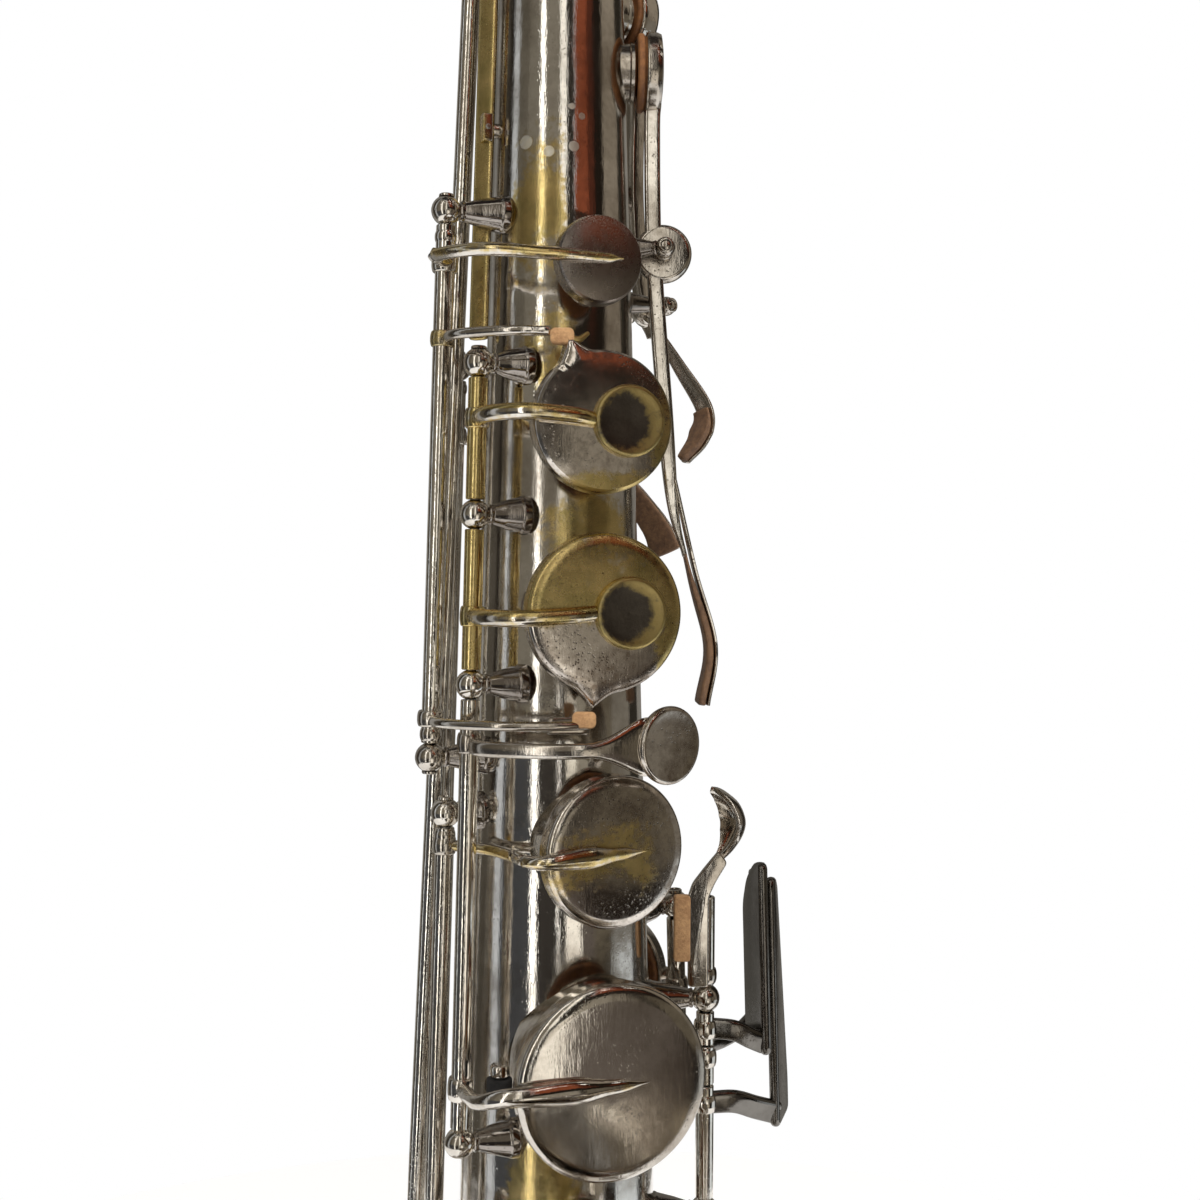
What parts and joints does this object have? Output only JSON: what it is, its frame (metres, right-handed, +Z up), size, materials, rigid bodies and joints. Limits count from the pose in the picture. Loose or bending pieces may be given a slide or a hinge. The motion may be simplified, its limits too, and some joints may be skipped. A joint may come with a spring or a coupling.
{
  "type": "saxophone",
  "caption": "Tenor saxophone with a worn silver-plated body, hinged padded keys on rods, bow, bell, turning neck, mouthpiece with reed, and a ring that takes a neck strap.",
  "frame": {"origin": "centre of the strap ring, which the instrument hangs from", "axes": "+Z up along the body tube towards the neck, -Y the front with the main key stack and the bell, +X the player's left"},
  "size_m": [0.1544, 0.4406, 0.7597],
  "materials": {
    "silver": "worn silver plate over brass",
    "brass": "bare, tarnished brass",
    "steel": "dull steel rod",
    "leather": "brown pad leather",
    "cork": "sheet cork",
    "ebonite": "polished black ebonite",
    "cane": "scraped cane"
  },
  "bodies": {
    "body": {"bell": "silver", "bell_brace": "silver", "body_tube": "silver", "bow": "silver", "c_key_rod": "steel", "lower_stack_rod": "steel", "side_bb_rod": "steel", "strap_ring": "silver", "table_rod": "steel", "thumb_hook": "silver", "thumb_rest": "brass", "upper_stack_rod": "steel"},
    "b_key": {"b_key": "silver", "b_pad": "leather"},
    "a_key": {"a_key": "silver", "a_pad": "leather"},
    "g_key": {"g_key": "silver", "g_pad": "leather"},
    "c_key": {"c_key": "silver", "c_pad": "leather"},
    "side_bb_key": {"side_bb_key": "silver", "side_bb_pad": "leather"},
    "side_e_key": {"side_e_key": "silver"},
    "side_c_key": {"side_c_key": "silver"},
    "palm_d_key": {"palm_d_key": "silver", "palm_d_pad": "leather"},
    "palm_eb_key": {"palm_eb_key": "silver"},
    "palm_f_key": {"palm_f_key": "silver"},
    "body_octave_key": {"body_octave_key": "silver"},
    "thumb_octave_lever": {"thumb_octave_lever": "silver"},
    "g_sharp_lever": {"g_sharp_lever": "silver"},
    "low_cs_lever": {"low_cs_lever": "silver"},
    "low_b_lever": {"low_b_lever": "silver"},
    "low_bb_lever": {"low_bb_lever": "silver"},
    "g_sharp_key": {"g_sharp_key": "silver"},
    "fs_key": {"fs_key": "silver"},
    "f_key": {"f_key": "silver"},
    "e_key": {"e_key": "silver"},
    "d_key": {"d_key": "silver"},
    "low_eb_key": {"low_eb_key": "silver"},
    "low_c_key": {"low_c_key": "silver"},
    "low_b_key": {"low_b_key": "silver"},
    "low_bb_key": {"low_bb_key": "silver"},
    "low_cs_key": {"low_cs_key": "silver"},
    "neck_clamp_screw": {"neck_clamp_screw": "brass"},
    "neck": {"neck_tube": "silver", "neck_cork": "cork"},
    "neck_octave_key": {"neck_octave_key": "silver"},
    "mouthpiece": {"mouthpiece": "ebonite", "reed": "cane", "ligature": "brass"},
    "ligature_screw": {"ligature_screw": "brass"}
  },
  "joints": [
    {"name": "b_key_hinge", "type": "hinge", "parent": "body", "child": "b_key", "pos_m": [-0.02588, -0.05012, 0.18], "axis": [0.0272, 0.0133, 0.9995], "range_deg": [0, 9], "stiffness_Nm_per_rad": 0.05, "springref_deg": -17.19},
    {"name": "a_key_hinge", "type": "hinge", "parent": "body", "child": "a_key", "pos_m": [-0.02696, -0.05065, 0.14], "axis": [0.0272, 0.0133, 0.9995], "range_deg": [0, 9], "stiffness_Nm_per_rad": 0.05, "springref_deg": -17.19},
    {"name": "g_key_hinge", "type": "hinge", "parent": "body", "child": "g_key", "pos_m": [-0.029, -0.05165, 0.065], "axis": [0.0272, 0.0133, 0.9995], "range_deg": [0, 9], "stiffness_Nm_per_rad": 0.05, "springref_deg": -17.19},
    {"name": "c_key_hinge", "type": "hinge", "parent": "body", "child": "c_key", "pos_m": [-0.03291, -0.04096, 0.17], "axis": [0.0301, 0.0032, 0.9995], "range_deg": [0, 7.5], "stiffness_Nm_per_rad": 0.05, "springref_deg": -17.19},
    {"name": "side_bb_key_hinge", "type": "hinge", "parent": "body", "child": "side_bb_key", "pos_m": [-0.03355, -0.04103, 0], "axis": [0.0301, 0.0032, 0.9995], "range_deg": [-8, 0], "stiffness_Nm_per_rad": 0.05, "springref_deg": 17.19},
    {"name": "side_e_key_hinge", "type": "hinge", "parent": "body", "child": "side_e_key", "pos_m": [-0.02806, -0.02838, 0.14], "axis": [0.0416, -0.0135, 0.999], "range_deg": [0, 10], "stiffness_Nm_per_rad": 0.05, "springref_deg": -17.19},
    {"name": "side_c_key_hinge", "type": "hinge", "parent": "body", "child": "side_c_key", "pos_m": [-0.02582, -0.01874, 0.06], "axis": [0.0245, -0.0178, 0.9995], "range_deg": [0, 10], "stiffness_Nm_per_rad": 0.05, "springref_deg": -17.19},
    {"name": "palm_d_key_hinge", "type": "hinge", "parent": "body", "child": "palm_d_key", "pos_m": [0.02471, -0.0465, 0.2282], "axis": [0.342, 0.9397, 0], "range_deg": [0, 6], "stiffness_Nm_per_rad": 0.05, "springref_deg": -17.19},
    {"name": "palm_eb_key_hinge", "type": "hinge", "parent": "body", "child": "palm_eb_key", "pos_m": [0.02788, -0.02951, 0.217], "axis": [-0.2756, 0.9613, 0], "range_deg": [0, 5], "stiffness_Nm_per_rad": 0.05, "springref_deg": -17.19},
    {"name": "palm_f_key_hinge", "type": "hinge", "parent": "body", "child": "palm_f_key", "pos_m": [0.01735, -0.01682, 0.248], "axis": [-0.766, 0.6428, 0], "range_deg": [0, 5], "stiffness_Nm_per_rad": 0.05, "springref_deg": -17.19},
    {"name": "body_octave_key_hinge", "type": "hinge", "parent": "body", "child": "body_octave_key", "pos_m": [-0.01886, -0.0375, 0.257], "axis": [0, -1, 0], "range_deg": [0, 1.8], "stiffness_Nm_per_rad": 0.05, "springref_deg": -17.19},
    {"name": "thumb_octave_lever_hinge", "type": "hinge", "parent": "body", "child": "thumb_octave_lever", "pos_m": [0.01162, -0.01258, 0.162], "axis": [-0.9063, 0.4226, 0], "range_deg": [0, 8], "stiffness_Nm_per_rad": 0.05, "springref_deg": -17.19},
    {"name": "g_sharp_lever_hinge", "type": "hinge", "parent": "body", "child": "g_sharp_lever", "pos_m": [0.03618, -0.05067, 0.051], "axis": [0, 0, 1], "range_deg": [0, 7.5], "stiffness_Nm_per_rad": 0.05, "springref_deg": -17.19},
    {"name": "low_cs_lever_hinge", "type": "hinge", "parent": "body", "child": "low_cs_lever", "pos_m": [0.03618, -0.05067, 0.028], "axis": [0, 0, 1], "range_deg": [0, 7.5], "stiffness_Nm_per_rad": 0.05, "springref_deg": -17.19},
    {"name": "low_b_lever_hinge", "type": "hinge", "parent": "body", "child": "low_b_lever", "pos_m": [0.03618, -0.05067, 0.017], "axis": [0, 0, 1], "range_deg": [0, 7.5], "stiffness_Nm_per_rad": 0.05, "springref_deg": -17.19},
    {"name": "low_bb_lever_hinge", "type": "hinge", "parent": "body", "child": "low_bb_lever", "pos_m": [0.03618, -0.05067, -0.003], "axis": [0, 0, 1], "range_deg": [0, 7.5], "stiffness_Nm_per_rad": 0.05, "springref_deg": -17.19},
    {"name": "g_sharp_key_hinge", "type": "hinge", "parent": "body", "child": "g_sharp_key", "pos_m": [0.03363, -0.03867, 0.036], "axis": [-0.0302, 0.0011, 0.9995], "range_deg": [-10, 0], "stiffness_Nm_per_rad": 0.05, "springref_deg": 17.19},
    {"name": "fs_key_hinge", "type": "hinge", "parent": "body", "child": "fs_key", "pos_m": [-0.0314, -0.05281, -0.023], "axis": [0.0272, 0.0133, 0.9995], "range_deg": [0, 9], "stiffness_Nm_per_rad": 0.05, "springref_deg": -17.19},
    {"name": "f_key_hinge", "type": "hinge", "parent": "body", "child": "f_key", "pos_m": [-0.03262, -0.05341, -0.068], "axis": [0.0272, 0.0133, 0.9995], "range_deg": [0, 9], "stiffness_Nm_per_rad": 0.05, "springref_deg": -17.19},
    {"name": "e_key_hinge", "type": "hinge", "parent": "body", "child": "e_key", "pos_m": [-0.03387, -0.05402, -0.114], "axis": [0.0272, 0.0133, 0.9995], "range_deg": [0, 9], "stiffness_Nm_per_rad": 0.05, "springref_deg": -17.19},
    {"name": "d_key_hinge", "type": "hinge", "parent": "body", "child": "d_key", "pos_m": [-0.03512, -0.05463, -0.16], "axis": [0.0272, 0.0133, 0.9995], "range_deg": [0, 9], "stiffness_Nm_per_rad": 0.05, "springref_deg": -17.19},
    {"name": "low_eb_key_hinge", "type": "hinge", "parent": "body", "child": "low_eb_key", "pos_m": [-0.05, -0.0375, -0.176], "axis": [0, 1, 0], "range_deg": [0, 8], "stiffness_Nm_per_rad": 0.05, "springref_deg": -17.19},
    {"name": "low_c_key_hinge", "type": "hinge", "parent": "body", "child": "low_c_key", "pos_m": [-0.05, -0.0715, -0.16], "axis": [0, 0, 1], "range_deg": [0, 7], "stiffness_Nm_per_rad": 0.05, "springref_deg": -17.19},
    {"name": "low_b_key_hinge", "type": "hinge", "parent": "body", "child": "low_b_key", "pos_m": [0.046, -0.1175, -0.15], "axis": [0, 0, 1], "range_deg": [-7, 0], "stiffness_Nm_per_rad": 0.05, "springref_deg": 17.19},
    {"name": "low_bb_key_hinge", "type": "hinge", "parent": "body", "child": "low_bb_key", "pos_m": [0.046, -0.1175, -0.094], "axis": [0, 0, 1], "range_deg": [-7, 0], "stiffness_Nm_per_rad": 0.05, "springref_deg": 17.19},
    {"name": "low_cs_key_hinge", "type": "hinge", "parent": "body", "child": "low_cs_key", "pos_m": [-0.046, -0.1175, -0.135], "axis": [0, 0, 1], "range_deg": [-6, 0], "stiffness_Nm_per_rad": 0.05, "springref_deg": 17.19},
    {"name": "neck_clamp_screw_hinge", "type": "hinge", "parent": "body", "child": "neck_clamp_screw", "pos_m": [0, -0.01797, 0.354], "axis": [1, 0, 0], "range_deg": [0, 180]},
    {"name": "neck_hinge", "type": "hinge", "parent": "body", "child": "neck", "pos_m": [0, -0.0375, 0.362], "axis": [0, 0, 1], "range_deg": [-30, 30]},
    {"name": "neck_octave_key_hinge", "type": "hinge", "parent": "neck", "child": "neck_octave_key", "pos_m": [0, 0.0145, 0.47], "axis": [1, 0, 0], "range_deg": [0, 2], "stiffness_Nm_per_rad": 0.05, "springref_deg": -17.19},
    {"name": "mouthpiece_slide", "type": "slide", "parent": "neck", "child": "mouthpiece", "axis": [0, 0.8682, -0.4961], "range_m": [0, 0.012]},
    {"name": "ligature_screw_hinge", "type": "hinge", "parent": "mouthpiece", "child": "ligature_screw", "pos_m": [0, 0.14414, 0.39888], "axis": [1, 0, 0], "range_deg": [0, 360]}
  ],
  "couplings": [
    {"joint": "c_key_hinge", "follows": "b_key_hinge", "ratio": 0.8333},
    {"joint": "fs_key_hinge", "follows": "f_key_hinge", "ratio": 1},
    {"joint": "g_sharp_key_hinge", "follows": "g_sharp_lever_hinge", "ratio": -1.3333},
    {"joint": "low_cs_key_hinge", "follows": "low_cs_lever_hinge", "ratio": -0.8},
    {"joint": "low_b_key_hinge", "follows": "low_b_lever_hinge", "ratio": -0.9333},
    {"joint": "low_bb_key_hinge", "follows": "low_bb_lever_hinge", "ratio": -0.9333},
    {"joint": "body_octave_key_hinge", "follows": "thumb_octave_lever_hinge", "ratio": 0.225},
    {"joint": "neck_octave_key_hinge", "follows": "thumb_octave_lever_hinge", "ratio": 0.25}
  ]
}
